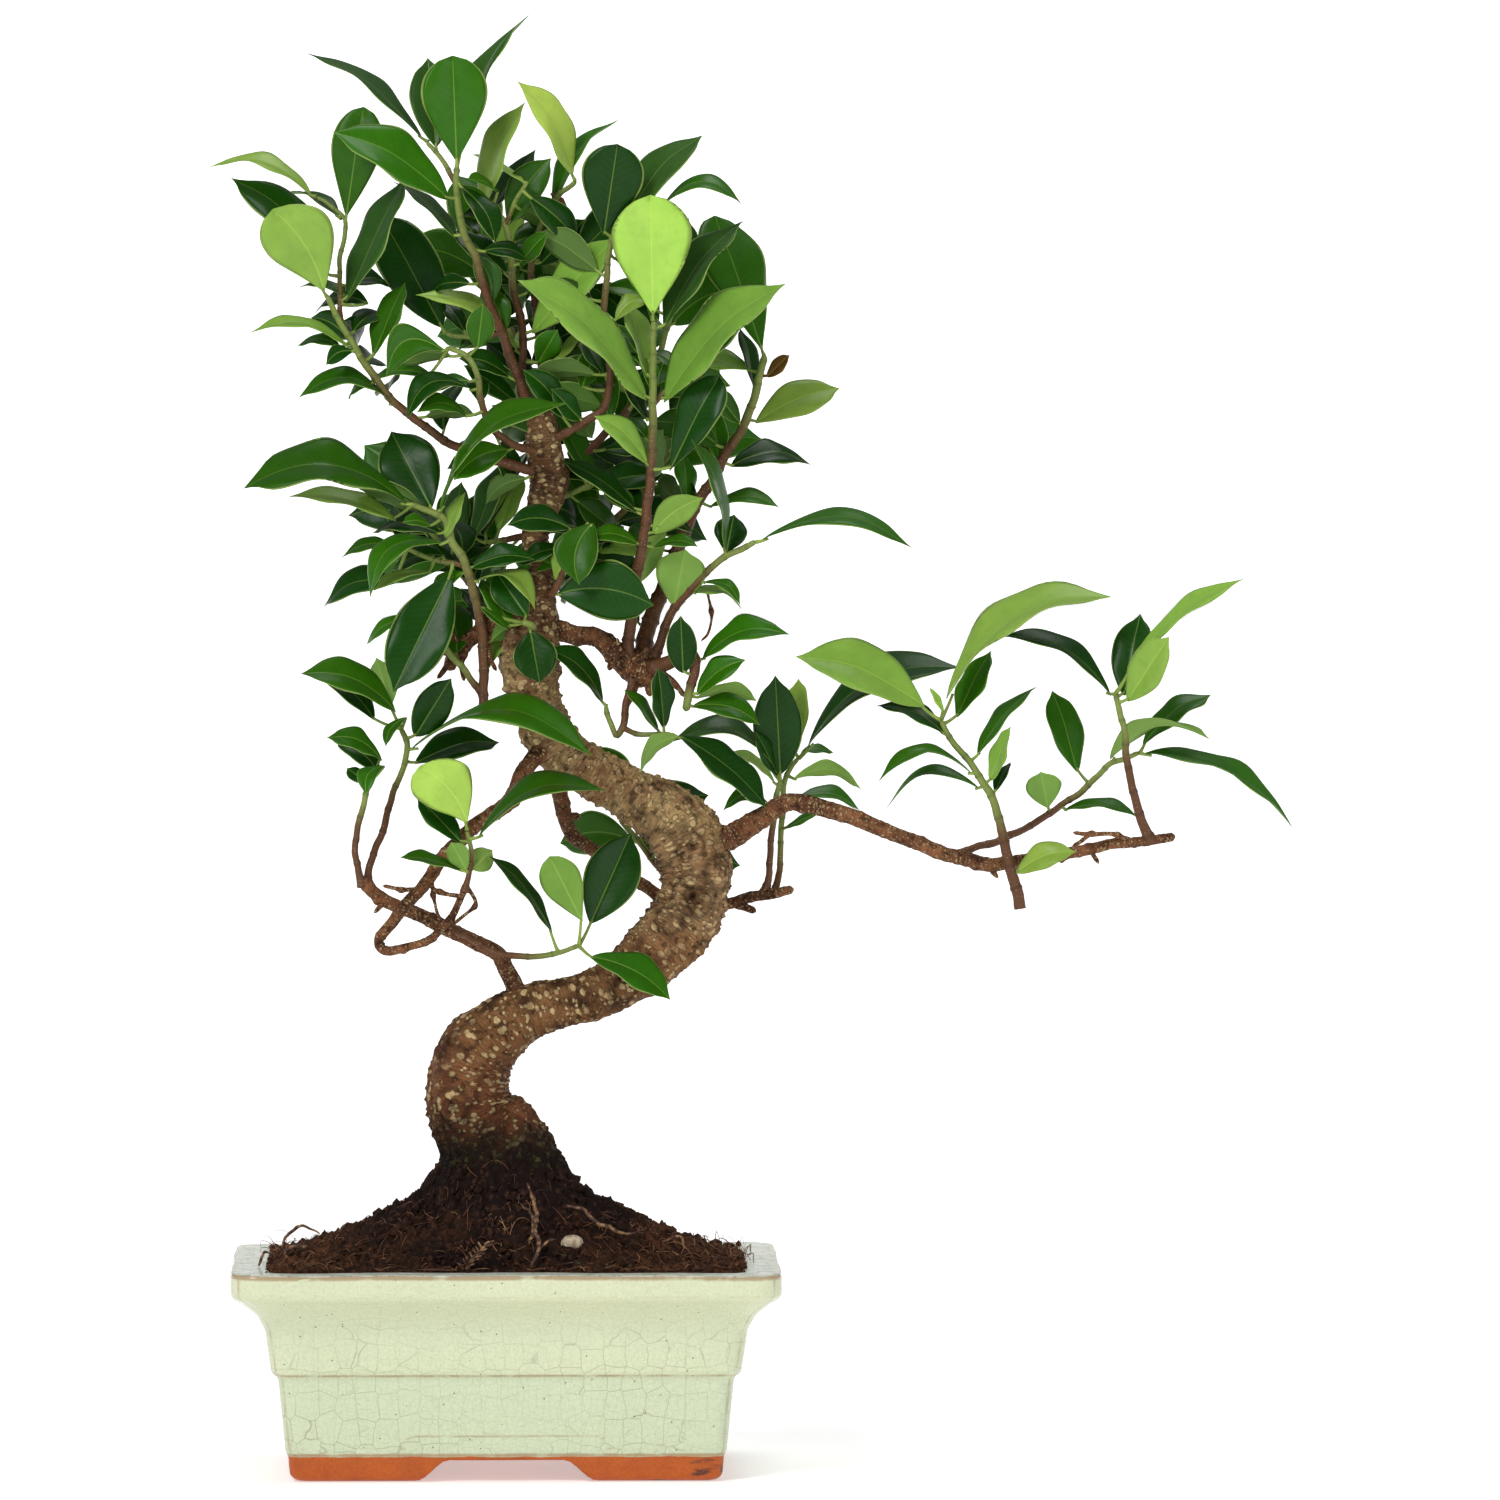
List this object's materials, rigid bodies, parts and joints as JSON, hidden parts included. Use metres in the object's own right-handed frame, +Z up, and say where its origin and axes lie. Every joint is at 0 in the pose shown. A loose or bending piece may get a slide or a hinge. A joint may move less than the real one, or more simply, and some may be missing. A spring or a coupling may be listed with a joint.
{
  "type": "bonsai tree in pot",
  "caption": "Ficus bonsai with an S-curved trunk, a long side branch and glossy oval leaves, growing in a rectangular crackle-glazed pot with an unglazed foot.",
  "frame": {"origin": "centre of the overall bounding box in plan, at the bench; the pot's own centre is 90.75 mm to -X of it, because the tree leans out over +X", "axes": "+Z up; X along the pot's long side, with the long side branch towards +X; -Y is the front, the side seen in the picture"},
  "size_m": [0.3964, 0.146, 0.534],
  "materials": {
    "glazed_pot": "gloss",
    "soil": "matte",
    "trunk_bark": "matte",
    "branch_bark": "matte",
    "leafy_shoot": "satin",
    "stone": "matte",
    "dead_root": "matte",
    "drainage_mesh": "matte"
  },
  "bodies": {
    "root": {"branch_back": "branch_bark", "branch_crown_right": "branch_bark", "branch_front_left": "branch_bark", "branch_left": "branch_bark", "branch_lower_left": "branch_bark", "branch_right": "branch_bark", "drainage_mesh_left": "drainage_mesh", "drainage_mesh_right": "drainage_mesh", "loose_root_front": "dead_root", "loose_root_left": "dead_root", "pebble": "stone", "pot": "glazed_pot", "shoot_back_crown": "leafy_shoot", "shoot_back_left": "leafy_shoot", "shoot_back_low": "leafy_shoot", "shoot_back_right": "leafy_shoot", "shoot_back_top": "leafy_shoot", "shoot_centre": "leafy_shoot", "shoot_far_right_end": "leafy_shoot", "shoot_far_right_rising": "leafy_shoot", "shoot_far_right_upright": "leafy_shoot", "shoot_front_left": "leafy_shoot", "shoot_hanging": "leafy_shoot", "shoot_inner": "leafy_shoot", "shoot_left_front": "leafy_shoot", "shoot_left_inner": "leafy_shoot", "shoot_left_long": "leafy_shoot", "shoot_low_front": "leafy_shoot", "shoot_low_left_inner": "leafy_shoot", "shoot_low_left_outer": "leafy_shoot", "shoot_mid_right": "leafy_shoot", "shoot_right_arching": "leafy_shoot", "shoot_right_hooked": "leafy_shoot", "shoot_right_tall": "leafy_shoot", "shoot_right_upright": "leafy_shoot", "shoot_top_back": "leafy_shoot", "shoot_top_centre": "leafy_shoot", "shoot_top_leader": "leafy_shoot", "shoot_top_right": "leafy_shoot", "shoot_trunk_front": "leafy_shoot", "soil": "soil", "trunk": "trunk_bark"}
  },
  "joints": []
}
